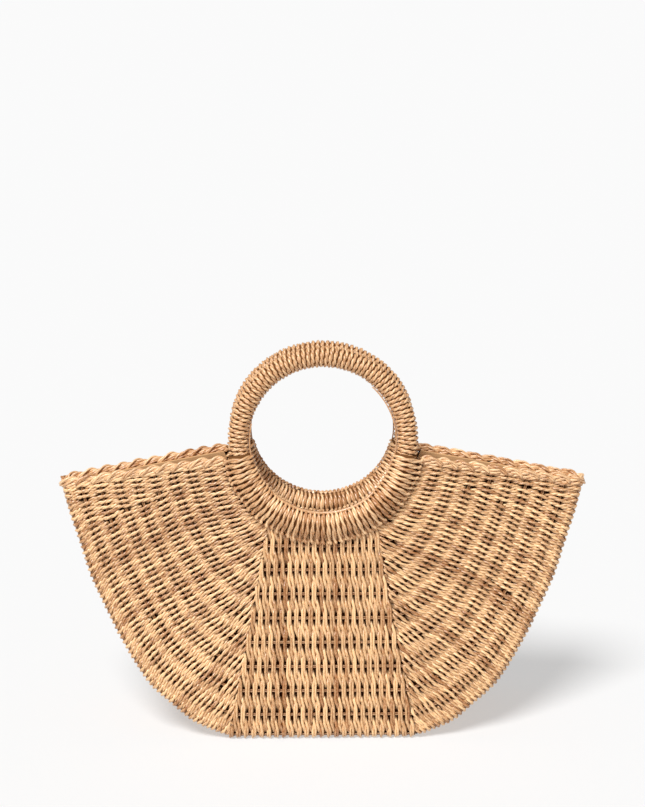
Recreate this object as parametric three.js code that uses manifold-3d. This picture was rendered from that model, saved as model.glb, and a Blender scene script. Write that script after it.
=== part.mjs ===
// Straw basket bag: a half-moon body woven of paper straw, with two wrapped ring handles.
// Millimetres, +Z up, +X to the bag's right as seen from its front, -Y to the front.
// The origin is on the ground, at the middle of the base.
import * as THREE from "three";
import { mergeVertices } from "three/addons/utils/BufferGeometryUtils.js";
import Module from "manifold-3d";

const wasm = await Module();
wasm.setup();

// Woven body
const BODY_WIDTH = 425; // across the rim corners
const BASE_LENGTH = 152; // flat length that the bag stands on
const BASE_DEPTH = 120; // front to back on the ground
const CORNER_HEIGHT = 205; // top of the rim braid at the corners
const CORNER_DEPTH = 18; // front to back at the corners
const RIM_RISE = 23; // the rim braid climbs this much from the corners to the rings
const WALL = 3;
const CREASE_RADIUS = 8; // bend from a panel into the side gusset
const BASE_EDGE_RADIUS = 8; // bend from a panel into the base
const PANEL_BOW = 1.5; // exponent of the panels' bow from the middle to the crease

// Ring handles
const RING_DIAMETER = 134.4; // of the ring's centre line
const RING_THICKNESS = 18;
const RING_ABOVE_RIM = 10.5; // ring centre above the rim braid's highest point
const RING_LEAN = THREE.MathUtils.degToRad(6.75); // each ring leans towards the other
const RING_TOP_GAP = 1.3; // between the two rings where they nearly touch

// Bindings that fold round a ring's lower half and over the panel's cut edge
const BINDING_THICKNESS = 1.4;
const BINDING_FLAP = 7.8; // reach of the flaps down the panel, below the ring

// Rim braids and lining
const RIM_BRAID_HEIGHT = 5;
const RIM_BRAID_WIDTH = 7;
const LINING_THICKNESS = 1;
const LINING_DROP = 8; // lining's hem below the top of the rim braid
const CLEARANCE = 0.3; // between pieces that touch

// Outline of the body's side from the base's end to the rim corner
const OUTLINE = [
  { heightShare: 0, widthShare: 0 },
  { heightShare: 0.037, widthShare: 0.13 },
  { heightShare: 0.068, widthShare: 0.225 },
  { heightShare: 0.13, widthShare: 0.337 },
  { heightShare: 0.193, widthShare: 0.448 },
  { heightShare: 0.255, widthShare: 0.522 },
  { heightShare: 0.379, widthShare: 0.637 },
  { heightShare: 0.502, widthShare: 0.733 },
  { heightShare: 0.624, widthShare: 0.821 },
  { heightShare: 0.746, widthShare: 0.883 },
  { heightShare: 0.868, widthShare: 0.947 },
  { heightShare: 1, widthShare: 1 },
];

// Slope of the walls' half depth against height, at the ends of each wall's curve
const MIDDLE_LEAN_AT_BASE = -0.12;
const MIDDLE_LEAN_ABOVE_NOTCH = -0.065;
const CREASE_LEAN_AT_BASE = -0.15;
const CREASE_LEAN_AT_CORNER = -0.22;

// Fineness of the facets
const OUTLINE_STEPS = 12;
const BASE_EDGE_STEPS = 4;
const PANEL_COLUMNS = 9;
const CORNER_COLUMNS = 3;
const RING_SEGMENTS = 44;
const RING_SIDES = 10;
const BINDING_STATIONS = 20;
const BINDING_ARC_POINTS = 11;
const BRAID_SIDES = 8;

const COLOURS = { straw: 0xc99f73, strawShade: 0xbf9468, handle: 0xcba070, lining: 0xcfa274 };

// Sizes that follow from the ones above
const ringRadius = RING_DIAMETER / 2;
const tubeRadius = RING_THICKNESS / 2;
const rimTop = CORNER_HEIGHT + RIM_RISE;
const ringHeight = rimTop + RING_ABOVE_RIM;
const ringHalfGap = (RING_TOP_GAP + RING_THICKNESS) / 2 + ringRadius * Math.sin(RING_LEAN);
const bindingInner = tubeRadius + CLEARANCE;
const bindingOuter = bindingInner + BINDING_THICKNESS;
const flapRadius = ringRadius + bindingOuter + BINDING_FLAP + BINDING_THICKNESS; // of the flaps' lowest edge
const notchRadius = ringRadius + bindingInner + CLEARANCE;
const notchBottom = ringHeight - notchRadius * Math.cos(RING_LEAN);
const notchHalfWidth = Math.sqrt(notchRadius ** 2 - RING_ABOVE_RIM ** 2);
const bindingEnd = Math.acos(RING_ABOVE_RIM / (ringRadius * Math.cos(RING_LEAN)));

// Value of a cubic between two ends with a slope at each
function cubic(at, start, end, startValue, endValue, startSlope, endSlope) {
  const span = end - start;
  const t = THREE.MathUtils.clamp((at - start) / span, 0, 1);
  const t2 = t * t;
  const t3 = t2 * t;
  return (
    (2 * t3 - 3 * t2 + 1) * startValue +
    (t3 - 2 * t2 + t) * span * startSlope +
    (3 * t2 - 2 * t3) * endValue +
    (t3 - t2) * span * endSlope
  );
}

// How far a ring's plane lies from the middle of the bag at a height
function ringPlane(height) {
  return ringHalfGap + (ringHeight - height) * Math.tan(RING_LEAN);
}

// Half depth of the body at the middle of a panel
function middleDepth(height) {
  const notchDepth = ringPlane(notchBottom) + WALL / 2;
  if (height > notchBottom) return notchDepth + MIDDLE_LEAN_ABOVE_NOTCH * (height - notchBottom);
  const endLean = -Math.tan(RING_LEAN);
  return cubic(height, 0, notchBottom, BASE_DEPTH / 2, notchDepth, MIDDLE_LEAN_AT_BASE, endLean);
}

// Half depth of the body at the crease between a panel and the side gusset
function creaseDepth(height) {
  const corner = CORNER_DEPTH / 2;
  if (height > CORNER_HEIGHT) return corner;
  return cubic(height, 0, CORNER_HEIGHT, BASE_DEPTH / 2, corner, CREASE_LEAN_AT_BASE, CREASE_LEAN_AT_CORNER);
}

// The side outline as a smooth curve of half width against height
const outlineCurve = new THREE.SplineCurve(
  OUTLINE.map(
    (row) =>
      new THREE.Vector2(
        BASE_LENGTH / 2 + (row.widthShare * (BODY_WIDTH - BASE_LENGTH)) / 2,
        row.heightShare * CORNER_HEIGHT,
      ),
  ),
);
const outlinePoints = outlineCurve.getPoints(OUTLINE.length * 12);

// Half width of the body at a height, from the side outline
function halfWidth(height) {
  const next = outlinePoints.findIndex((point) => point.y >= height);
  if (next === 0) return outlinePoints[0].x;
  if (next < 0) return outlinePoints.at(-1).x;
  const low = outlinePoints[next - 1];
  const high = outlinePoints[next];
  return THREE.MathUtils.mapLinear(height, low.y, high.y, low.x, high.x);
}

// Rise of the rim braid's top from a corner to the ring
function rimHeight(x) {
  const share = (BODY_WIDTH / 2 - Math.abs(x)) / (BODY_WIDTH / 2 - notchHalfWidth);
  return CORNER_HEIGHT + RIM_RISE * THREE.MathUtils.clamp(share, 0, 1);
}

// The columns of one quarter of a level section: along the panel, round the crease, to the gusset's middle
const quarterColumns = [
  ...Array.from({ length: PANEL_COLUMNS }, (_, i) => ({ panelShare: i / (PANEL_COLUMNS - 1), turn: 0 })),
  ...Array.from({ length: CORNER_COLUMNS }, (_, i) => ({
    panelShare: 1,
    turn: ((i + 1) / CORNER_COLUMNS) * (Math.PI / 2),
  })),
  { panelShare: 1, turn: Math.PI / 2, gussetMiddle: true },
];

// Radius of the bend from a panel into the gusset, where the gusset is this far from the middle
function creaseRadius(edge) {
  return Math.min(CREASE_RADIUS, edge * 0.9);
}

// Half depth of a bowed panel, at a share of the way from its middle to where the crease bends
function panelDepth(share, edge, middle) {
  return edge + (middle - edge) * (1 - Math.min(share, 1) ** PANEL_BOW);
}

// A point of the level section, in the quarter with x and depth positive
function sectionPoint(column, half, edge, middle) {
  const radius = creaseRadius(edge);
  const flat = half - radius;
  if (column.gussetMiddle) return new THREE.Vector2(half, 0);
  if (column.turn > 0) {
    return new THREE.Vector2(flat + radius * Math.sin(column.turn), edge - radius * (1 - Math.cos(column.turn)));
  }
  return new THREE.Vector2(flat * column.panelShare, panelDepth(column.panelShare, edge, middle));
}

// A whole level section, counter-clockwise from the front middle
function sectionLoop(height, half, edge, middle) {
  const quarter = quarterColumns.map((column) => sectionPoint(column, half, edge, middle));
  const place = (point, signX, signY) => new THREE.Vector3(signX * point.x, signY * point.y, height);
  const last = quarter.length - 1;
  return [
    ...quarter.map((point) => place(point, 1, -1)),
    ...quarter.slice(0, last).reverse().map((point) => place(point, 1, 1)),
    ...quarter.slice(1).map((point) => place(point, -1, 1)),
    ...quarter.slice(1, last).reverse().map((point) => place(point, -1, -1)),
  ];
}

// Heights of the level sections: close together round the base edge, then even along the outline
function levelHeights() {
  const heights = Array.from(
    { length: BASE_EDGE_STEPS + 1 },
    (_, i) => BASE_EDGE_RADIUS * (1 - Math.cos(((i / BASE_EDGE_STEPS) * Math.PI) / 2)),
  );
  for (const point of outlineCurve.getSpacedPoints(OUTLINE_STEPS)) {
    if (point.y > BASE_EDGE_RADIUS + 1) heights.push(point.y);
  }
  heights.push(ringHeight);
  return heights;
}

// How far the base edge's bend draws the panels in at a height
function baseInset(height) {
  const below = Math.max(BASE_EDGE_RADIUS - height, 0);
  return BASE_EDGE_RADIUS - Math.sqrt(BASE_EDGE_RADIUS ** 2 - below ** 2);
}

// Closed surface through loops of points that all have as many points, with both ends capped
function loft(loops, capTriangles) {
  const count = loops[0].length;
  const positions = loops.flat().flatMap((point) => [point.x, point.y, point.z]);
  const index = [];
  for (let loop = 0; loop + 1 < loops.length; loop++) {
    for (let i = 0; i < count; i++) {
      const a = loop * count + i;
      const b = loop * count + ((i + 1) % count);
      index.push(a, b, b + count, a, b + count, a + count);
    }
  }
  const end = (loops.length - 1) * count;
  for (const [a, b, c] of capTriangles) {
    index.push(a, c, b, end + a, end + b, end + c);
  }
  const geometry = new THREE.BufferGeometry();
  geometry.setAttribute("position", new THREE.Float32BufferAttribute(positions, 3));
  geometry.setIndex(index);
  return geometry;
}

// A solid for joining and cutting, from a closed geometry
function solidOf(geometry) {
  const bare = geometry.clone();
  bare.deleteAttribute("normal");
  bare.deleteAttribute("uv");
  const merged = mergeVertices(bare, 1e-4);
  return new wasm.Manifold(
    new wasm.Mesh({
      numProp: 3,
      vertProperties: merged.attributes.position.array,
      triVerts: new Uint32Array(merged.index.array),
    }),
  );
}

// A geometry from a solid
function geometryOf(solid) {
  const mesh = solid.getMesh();
  const geometry = new THREE.BufferGeometry();
  geometry.setAttribute("position", new THREE.BufferAttribute(new Float32Array(mesh.vertProperties), 3));
  geometry.setIndex(new THREE.BufferAttribute(new Uint32Array(mesh.triVerts), 1));
  return geometry;
}

// The body's form as a solid, drawn in by an inset on every side
function bodyForm(inset) {
  const loops = levelHeights().map((height) => {
    const slope = halfWidth(height + 0.5) - halfWidth(height - 0.5);
    const across = 1 / Math.hypot(1, slope);
    const level = height > 0 ? height + inset * slope * across : inset;
    const half = halfWidth(height) - inset * across;
    const drawnIn = inset + baseInset(height);
    return sectionLoop(level, half, creaseDepth(level) - drawnIn, middleDepth(level) - drawnIn);
  });
  const outline = loops[0].map((point) => new THREE.Vector2(point.x, point.y));
  return solidOf(loft(loops, THREE.ShapeUtils.triangulateShape(outline, [])));
}

// Everything above a line that follows the rim, this far below the rim braid's top
function aboveRim(drop) {
  const line = [-BODY_WIDTH, -BODY_WIDTH / 2, -notchHalfWidth, notchHalfWidth, BODY_WIDTH / 2, BODY_WIDTH];
  const shape = new THREE.Shape([
    ...line.map((x) => new THREE.Vector2(x, rimHeight(x) - drop)),
    new THREE.Vector2(BODY_WIDTH, 2 * rimTop),
    new THREE.Vector2(-BODY_WIDTH, 2 * rimTop),
  ]);
  const slab = new THREE.ExtrudeGeometry(shape, { depth: 2 * BASE_DEPTH, bevelEnabled: false });
  slab.rotateX(Math.PI / 2);
  slab.translate(0, BASE_DEPTH, 0);
  return solidOf(slab);
}

// The front ring's own frame: +X along the bag, +Y up the leaning ring, +Z out of the bag
const ringFrame = new THREE.Matrix4()
  .makeRotationX(Math.PI / 2 - RING_LEAN)
  .setPosition(0, -ringHalfGap, ringHeight);

// Round cutters along both rings' axes, each from just short of the bag's middle out past its panel
function ringCutters(radius) {
  const cutter = new THREE.CylinderGeometry(radius, radius, BASE_DEPTH, RING_SEGMENTS);
  cutter.rotateX(Math.PI / 2);
  cutter.translate(0, 0, BASE_DEPTH / 2 - ringHalfGap + CLEARANCE);
  cutter.applyMatrix4(ringFrame);
  const front = solidOf(cutter);
  return front.add(front.mirror([0, 1, 0]));
}

function wovenBody() {
  const outer = bodyForm(0);
  const inner = bodyForm(WALL);
  const cut = aboveRim(RIM_BRAID_HEIGHT + CLEARANCE).add(ringCutters(notchRadius));
  return geometryOf(outer.subtract(inner).subtract(cut));
}

// The lining's edge passes just below the bindings' flaps
function lining() {
  const outer = bodyForm(WALL + CLEARANCE);
  const inner = bodyForm(WALL + CLEARANCE + LINING_THICKNESS);
  const facetReach = (flapRadius + CLEARANCE) / Math.cos(Math.PI / RING_SEGMENTS);
  const cut = aboveRim(LINING_DROP).add(ringCutters(facetReach));
  return geometryOf(outer.subtract(inner).subtract(cut));
}

function ringHandle() {
  const ring = new THREE.TorusGeometry(ringRadius, tubeRadius, RING_SIDES, RING_SEGMENTS);
  const closed = geometryOf(solidOf(ring));
  return closed.applyMatrix4(ringFrame);
}

// The direction from the ring's centre at an angle from straight down, in the ring's plane
function ringDirection(angle) {
  return new THREE.Vector3(Math.sin(angle), -Math.cos(angle), 0).transformDirection(ringFrame);
}

// How far out of the ring's plane the wall's middle surface lies, at an angle and radius of the ring
function wallOffset(angle, radius) {
  const inPlane = ringDirection(angle).multiplyScalar(radius);
  const outward = new THREE.Vector3(0, 0, 1).transformDirection(ringFrame);
  const centre = new THREE.Vector3().setFromMatrixPosition(ringFrame);
  let offset = 0;
  for (let round = 0; round < 4; round++) {
    const spot = centre.clone().add(inPlane).addScaledVector(outward, offset);
    const edge = creaseDepth(spot.z);
    const share = Math.abs(spot.x) / (halfWidth(spot.z) - creaseRadius(edge));
    const wall = panelDepth(share, edge, middleDepth(spot.z)) - WALL / 2;
    offset += (wall + spot.y) / Math.cos(RING_LEAN);
  }
  return offset;
}

// A binding's section at an angle: a sleeve round the ring, open to two flaps that straddle the wall
function bindingSection(angle) {
  const slotHalf = WALL / 2 + CLEARANCE;
  const flapHalf = slotHalf + BINDING_THICKNESS;
  const flap = BINDING_FLAP * Math.cos(((angle / bindingEnd) * Math.PI) / 2) + BINDING_THICKNESS;
  const tip = ringRadius + bindingOuter + flap;
  const near = wallOffset(angle, notchRadius);
  const far = wallOffset(angle, tip);
  const sleeve = (radius, half, facetsOutside) => {
    const from = Math.asin((near + half) / radius);
    const step = (2 * Math.PI + Math.asin((near - half) / radius) - from) / (BINDING_ARC_POINTS - 1);
    const reach = facetsOutside ? radius / Math.cos(step / 2) : radius;
    return Array.from({ length: BINDING_ARC_POINTS }, (_, i) => {
      const turn = from + step * i;
      return new THREE.Vector2(ringRadius + reach * Math.cos(turn), reach * Math.sin(turn));
    });
  };
  return [
    new THREE.Vector2(tip, far + slotHalf),
    new THREE.Vector2(tip, far + flapHalf),
    ...sleeve(bindingOuter, flapHalf, false),
    new THREE.Vector2(tip, far - flapHalf),
    new THREE.Vector2(tip, far - slotHalf),
    ...sleeve(bindingInner, slotHalf, true).reverse(),
  ];
}

function binding() {
  const angles = Array.from(
    { length: BINDING_STATIONS + 1 },
    (_, i) => bindingEnd * (1 - (2 * i) / BINDING_STATIONS),
  );
  const loops = angles.map((angle) =>
    bindingSection(angle).map((point) =>
      new THREE.Vector3(point.x * Math.sin(angle), -point.x * Math.cos(angle), point.y).applyMatrix4(ringFrame),
    ),
  );
  return loft(loops, THREE.ShapeUtils.triangulateShape(bindingSection(angles[0]), []));
}

// The rim braid's path over the wall's middle surface: from the front ring, round the corner, to the back ring
function rimPath() {
  const start = Math.sqrt((ringRadius + bindingOuter + 2 * BINDING_THICKNESS) ** 2 - RING_ABOVE_RIM ** 2);
  const spot = (column) => {
    const level = CORNER_HEIGHT - RIM_BRAID_HEIGHT / 2;
    const half = halfWidth(level) - WALL / 2;
    const edge = creaseDepth(level) - WALL / 2;
    if (column.turn > 0) return sectionPoint(column, half, edge, edge);
    const x = THREE.MathUtils.lerp(start, half - creaseRadius(edge), column.panelShare);
    const height = rimHeight(x) - RIM_BRAID_HEIGHT / 2;
    const crease = creaseDepth(height);
    const share = x / (halfWidth(height) - creaseRadius(crease));
    return new THREE.Vector2(x, panelDepth(share, crease, middleDepth(height)) - WALL / 2);
  };
  const front = quarterColumns.map(spot).map((point) => {
    return new THREE.Vector3(point.x, -point.y, rimHeight(point.x) - RIM_BRAID_HEIGHT / 2);
  });
  const back = front.slice(0, -1).reverse().map((point) => new THREE.Vector3(point.x, -point.y, point.z));
  return [...front, ...back];
}

function rimBraid() {
  const path = rimPath();
  const last = path.length - 1;
  const upright = new THREE.Vector3(0, 0, 1);
  const round = Array.from({ length: BRAID_SIDES }, (_, i) => {
    const turn = ((i + 0.5) / BRAID_SIDES) * 2 * Math.PI;
    const reach = 1 / Math.cos(Math.PI / BRAID_SIDES);
    const across = (RIM_BRAID_WIDTH / 2) * reach * Math.cos(turn);
    return new THREE.Vector2(across, (RIM_BRAID_HEIGHT / 2) * reach * Math.sin(turn));
  });
  const loops = path.map((spot, i) => {
    const heading = path[Math.min(i + 1, last)].clone().sub(path[Math.max(i - 1, 0)]).setZ(0).normalize();
    const across = new THREE.Vector3().crossVectors(upright, heading);
    return round.map((point) =>
      spot.clone().addScaledVector(across, point.x).addScaledVector(upright, point.y),
    );
  });
  return loft(loops, THREE.ShapeUtils.triangulateShape(round, []));
}

// A named mesh, mirrored front to back or left to right where it is the second of a pair
function piece(name, geometry, colour, mirrorX = 1, mirrorY = 1) {
  const shaded = geometry.clone();
  shaded.computeVertexNormals();
  const material = new THREE.MeshStandardMaterial({ color: colour, roughness: 0.85, metalness: 0 });
  const mesh = new THREE.Mesh(shaded, material);
  mesh.name = name;
  mesh.scale.set(mirrorX, mirrorY, 1);
  return mesh;
}

const group = new THREE.Group();
group.add(piece("woven_body", wovenBody(), COLOURS.straw));
group.add(piece("lining", lining(), COLOURS.lining));

const ring = ringHandle();
group.add(piece("ring_handle_front", ring, COLOURS.handle));
group.add(piece("ring_handle_back", ring, COLOURS.handle, 1, -1));

const collar = binding();
group.add(piece("binding_front", collar, COLOURS.strawShade));
group.add(piece("binding_back", collar, COLOURS.strawShade, 1, -1));

const braid = rimBraid();
group.add(piece("rim_braid_right", braid, COLOURS.straw));
group.add(piece("rim_braid_left", braid, COLOURS.straw, -1, 1));

export default group;
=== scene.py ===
import math

import bpy
import numpy as np
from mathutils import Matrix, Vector


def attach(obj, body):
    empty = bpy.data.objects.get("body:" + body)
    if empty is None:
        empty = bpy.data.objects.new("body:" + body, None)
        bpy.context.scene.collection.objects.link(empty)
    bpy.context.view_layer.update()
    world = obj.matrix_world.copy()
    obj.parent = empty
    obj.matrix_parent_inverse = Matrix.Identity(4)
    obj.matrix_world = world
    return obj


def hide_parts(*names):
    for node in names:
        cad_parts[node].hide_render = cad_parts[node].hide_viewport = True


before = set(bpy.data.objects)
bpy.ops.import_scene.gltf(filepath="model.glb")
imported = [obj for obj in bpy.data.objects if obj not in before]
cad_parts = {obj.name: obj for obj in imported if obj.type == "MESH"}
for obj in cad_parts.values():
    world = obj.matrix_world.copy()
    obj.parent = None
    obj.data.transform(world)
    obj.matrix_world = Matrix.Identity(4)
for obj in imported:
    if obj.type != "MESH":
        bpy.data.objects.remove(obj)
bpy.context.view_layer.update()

# Lengths are in millimetres until a mesh is made. +Z is up and the bag's front looks along -Y.
MM = 0.001
rng = np.random.default_rng(11)

# Sizes of the bag, as in its source
BODY_WIDTH = 425
BASE_LENGTH = 152
BASE_DEPTH = 120
CORNER_HEIGHT = 205
CORNER_DEPTH = 18
RIM_RISE = 23
WALL = 3
CREASE_RADIUS = 8
BASE_EDGE_RADIUS = 8
PANEL_BOW = 1.5
RING_RADIUS = 67.2
RING_THICKNESS = 18
RING_ABOVE_RIM = 10.5
RING_LEAN = math.radians(6.75)
RING_TOP_GAP = 1.3
RIM_BRAID_HEIGHT = 5
NOTCH_RADIUS = 76.8  # of the round notch in a panel, under its ring
BINDING_OUTER = 10.7  # from the ring's middle line to the binding's outside
BINDING_FLAP = 7.8
BINDING_THICKNESS = 1.4
MIDDLE_LEAN_AT_BASE = -0.12  # change of a panel's half depth for each millimetre up
MIDDLE_LEAN_ABOVE_NOTCH = -0.065
CREASE_LEAN_AT_BASE = -0.15
CREASE_LEAN_AT_CORNER = -0.22
CREASE_SHARE = 0.9  # a crease's bend takes at most this share of the half depth

# Side outline from the base's end to the rim corner, as shares of height and width
OUTLINE = np.array([
    [0, 0], [0.037, 0.13], [0.068, 0.225], [0.13, 0.337], [0.193, 0.448], [0.255, 0.522],
    [0.379, 0.637], [0.502, 0.733], [0.624, 0.821], [0.746, 0.883], [0.868, 0.947], [1, 1],
])
OUTLINE_STEPS = 12  # between two of these points

RIM_TOP = CORNER_HEIGHT + RIM_RISE
RING_HEIGHT = RIM_TOP + RING_ABOVE_RIM
RING_HALF_GAP = (RING_TOP_GAP + RING_THICKNESS) / 2 + RING_RADIUS * math.sin(RING_LEAN)
NOTCH_BOTTOM = RING_HEIGHT - NOTCH_RADIUS * math.cos(RING_LEAN)
NOTCH_HALF_WIDTH = math.sqrt(NOTCH_RADIUS**2 - RING_ABOVE_RIM**2)
BINDING_END = math.acos(RING_ABOVE_RIM / (RING_RADIUS * math.cos(RING_LEAN)))

# Weave: weavers run from the ring out over the side edges, over and under concentric stakes
STAKES = 9
STAKE_PITCH = 18.2
WEAVE_INSET = 1.85  # the weave's middle surface lies this far inside the body's outside
WEAVE_RISE = 1.3  # height of a weaver's waves over the middle surface
STAKE_PLY = 0.7  # radius of each of a stake's two plies
EDGE_WEAVERS = 114  # weavers that leave one side edge between the rim and the base
EDGE_CROWDING = 0.09  # they lie closer by this share at the base, and wider at the rim
FAN_SQUEEZE = 0.95  # a weaver's distance from the rim shrinks to this share from stake to stake
CLOSEST_PITCH = 2.2
CENTRE_WEAVERS = 50
CENTRE_TAPER = 0.09  # the centre's weavers draw together by this share from the base to the ring
RING_ARC_RADIUS = 79  # the weave's inner edge round a ring, under the binding
RING_ARC_TOP = math.radians(78.8)  # from straight down
RING_ARC_MITRE = math.radians(33.1)
RIM_GAP = 0.3  # between the weave's top and the rim's border
WEAVE_OVERLAP = 2  # the weave runs up this far behind the border
BASE_STAKES = 3  # under each half of the base
GUSSET_MIDDLE_ROOM = 7  # a gusset's last stake stays at least this far from its middle


# A smooth change between two values, with its slopes at the two ends
def cubic(at, start, end, start_value, end_value, start_slope, end_slope):
    span = end - start
    t = np.clip((at - start) / span, 0, 1)
    return (
        (2 * t**3 - 3 * t**2 + 1) * start_value
        + (t**3 - 2 * t**2 + t) * span * start_slope
        + (3 * t**2 - 2 * t**3) * end_value
        + (t**3 - t**2) * span * end_slope
    )


# How far a ring's plane lies from the middle of the bag at a height
def ring_plane(z):
    return RING_HALF_GAP + (RING_HEIGHT - z) * math.tan(RING_LEAN)


# Half depth of the body at the middle of a panel
def middle_depth(z):
    notch_depth = ring_plane(NOTCH_BOTTOM) + WALL / 2
    lean = -math.tan(RING_LEAN)
    below = cubic(z, 0, NOTCH_BOTTOM, BASE_DEPTH / 2, notch_depth, MIDDLE_LEAN_AT_BASE, lean)
    above = notch_depth + MIDDLE_LEAN_ABOVE_NOTCH * (z - NOTCH_BOTTOM)
    return np.where(z > NOTCH_BOTTOM, above, below)


# Half depth of the body at the crease between a panel and the side gusset
def crease_depth(z):
    level = np.minimum(z, CORNER_HEIGHT)
    lower, upper = BASE_DEPTH / 2, CORNER_DEPTH / 2
    return cubic(level, 0, CORNER_HEIGHT, lower, upper, CREASE_LEAN_AT_BASE, CREASE_LEAN_AT_CORNER)


# Radius of a crease's bend, where the half depth at the crease is this
def crease_radius(edge):
    return np.minimum(CREASE_RADIUS, CREASE_SHARE * edge)


# Points of a smooth curve through rows of points, with a number of steps between each two
def smooth_curve(points, steps):
    padded = np.vstack([points[:1], points, points[-1:]])
    t = np.arange(steps)[:, None] / steps
    spans = []
    for a, b, c, d in zip(padded, padded[1:], padded[2:], padded[3:]):
        slope_b = (c - a) / 2
        slope_c = (d - b) / 2
        spans.append(
            (2 * t**3 - 3 * t**2 + 1) * b + (t**3 - 2 * t**2 + t) * slope_b
            + (3 * t**2 - 2 * t**3) * c + (t**3 - t**2) * slope_c
        )
    return np.vstack([*spans, points[-1:]])


outline_x = BASE_LENGTH / 2 + OUTLINE[:, 1] * (BODY_WIDTH - BASE_LENGTH) / 2
outline = smooth_curve(np.column_stack([outline_x, OUTLINE[:, 0] * CORNER_HEIGHT]), OUTLINE_STEPS)


# Half width of the body's outside in front view
def half_width(z):
    return np.interp(z, outline[:, 1], outline[:, 0])


# How far the base edge's bend draws the panels in at a height
def base_inset(z):
    below = np.clip(BASE_EDGE_RADIUS - z, 0, BASE_EDGE_RADIUS)
    return BASE_EDGE_RADIUS - np.sqrt(BASE_EDGE_RADIUS**2 - below**2)


# Half depth of a panel's outside at a place in front view
def panel_depth(x, z):
    edge = crease_depth(z)
    share = np.clip(np.abs(x) / (half_width(z) - crease_radius(edge)), 0, 1)
    return edge + (middle_depth(z) - edge) * (1 - share**PANEL_BOW) - base_inset(z)


# Vectors brought to length 1
def unit(vectors):
    return vectors / np.maximum(np.linalg.norm(vectors, axis=-1, keepdims=True), 1e-9)


# How far along a line each of its points lies
def lengths_along(line):
    return np.concatenate([[0], np.cumsum(np.linalg.norm(np.diff(line, axis=0), axis=1))])


# Points of a line at given lengths along it
def points_at(at, lengths, line):
    return np.stack([np.interp(at, lengths, column) for column in line.T], -1)


# Outward normal of the front panel at a place in front view
def panel_normal(x, z):
    step, step_down, lowest = 0.6, 0.25, 0.3
    slope_x = (panel_depth(x + step, z) - panel_depth(x - step, z)) / (2 * step)
    low = np.maximum(z, lowest) - step_down
    high = np.maximum(z, lowest) + step
    slope_z = (panel_depth(x, high) - panel_depth(x, low)) / (high - low)
    return unit(np.stack([-slope_x, -np.ones_like(slope_x), -slope_z], -1))


# Height of the rim braid's top
def rim_height(x):
    share = (BODY_WIDTH / 2 - np.abs(x)) / (BODY_WIDTH / 2 - NOTCH_HALF_WIDTH)
    return CORNER_HEIGHT + RIM_RISE * np.clip(share, 0, 1)


# The side outline by distance from the rim corner, with its outward direction in front view
WEAVE_TOP = CORNER_HEIGHT - RIM_BRAID_HEIGHT - RIM_GAP
edge_line = outline[::-1]
edge_line = edge_line[edge_line[:, 1] <= WEAVE_TOP + WEAVE_OVERLAP]
edge_lengths = lengths_along(edge_line)
EDGE_LENGTH = edge_lengths[-1]
edge_heading = unit(np.gradient(edge_line, edge_lengths, axis=0))


def along_edge(distance):
    point = points_at(distance, edge_lengths, edge_line)
    heading = unit(points_at(distance, edge_lengths, edge_heading))
    outward = np.stack([-heading[..., 1], heading[..., 0]], -1)
    return point, outward


# The weave's inner edge in front view, by the share of its way from the rim to the mitre
def ring_arc(share):
    angle = RING_ARC_TOP + (RING_ARC_MITRE - RING_ARC_TOP) * share
    height = RING_HEIGHT - RING_ARC_RADIUS * np.cos(angle) * math.cos(RING_LEAN)
    return np.stack([RING_ARC_RADIUS * np.sin(angle), height], -1)


# Length of a stake of the fan from the rim to the mitre
def stake_length(stake):
    ring_length = RING_ARC_RADIUS * (RING_ARC_TOP - RING_ARC_MITRE)
    return EDGE_LENGTH + (ring_length - EDGE_LENGTH) * stake / STAKES


# Unfolded length from a crease's middle to the gusset's middle at a height, and how many stakes lie there
def gusset_span(z):
    edge = crease_depth(z) - base_inset(z)
    radius = crease_radius(edge)
    half = edge - radius + radius * math.pi / 4
    stakes = np.maximum(np.floor((half - GUSSET_MIDDLE_ROOM) / STAKE_PITCH), 0)
    return half, stakes


# Place and normal on the front right, by the share of the way from the rim to the mitre and the stake
def fan_surface(share, stake):
    # Stake 0 is the side edge and STAKES the ring's, and stakes below 0 lie on the gusset
    share, stake = np.broadcast_arrays(share, stake)
    outer, outward = along_edge(share * EDGE_LENGTH)
    ray = ring_arc(share) - outer
    reach = np.linalg.norm(ray, axis=-1)
    ray = ray / reach[..., None]
    sine = np.abs((ray * outward).sum(-1))
    edge = crease_depth(outer[..., 1])
    radius = crease_radius(edge)
    bend = radius * math.pi / 2
    unfolded = reach * sine + bend - radius
    half, stakes = gusset_span(outer[..., 1])
    crossed = -np.minimum(stake, 0)
    to_last = np.minimum(crossed, stakes) * STAKE_PITCH
    to_middle = np.clip(crossed - stakes, 0, 1) * (half - stakes * STAKE_PITCH)
    distance = bend / 2 + (unfolded - bend / 2) * np.maximum(stake, 0) / STAKES - to_last - to_middle
    curl = np.clip(distance / radius, 0, math.pi / 2)
    inward = np.where(distance < bend, radius * (1 - np.cos(curl)), distance - bend + radius)
    drop = radius * (1 - np.sin(curl)) + np.maximum(-distance, 0)
    plane = outer + ray * (inward / sine)[..., None]
    x, z = plane[..., 0], plane[..., 1]
    depth = panel_depth(x, z) - drop
    place = np.stack([x, -depth, z], -1)
    sideways = np.stack([outward[..., 0], np.zeros_like(x), outward[..., 1]], -1)
    normal = sideways * np.cos(curl)[..., None] + panel_normal(x, z) * np.sin(curl)[..., None]
    return place, unit(normal)


# Height of the mitre's top at the ring, and the step between the base's stakes
MITRE_TOP = fan_surface(1.0, np.arange(STAKES + 1.0))[0][-1, 2]
BASE_STAKE_STEP = (BASE_DEPTH / 2 - BASE_EDGE_RADIUS * (1 - math.pi / 4)) / BASE_STAKES


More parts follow.
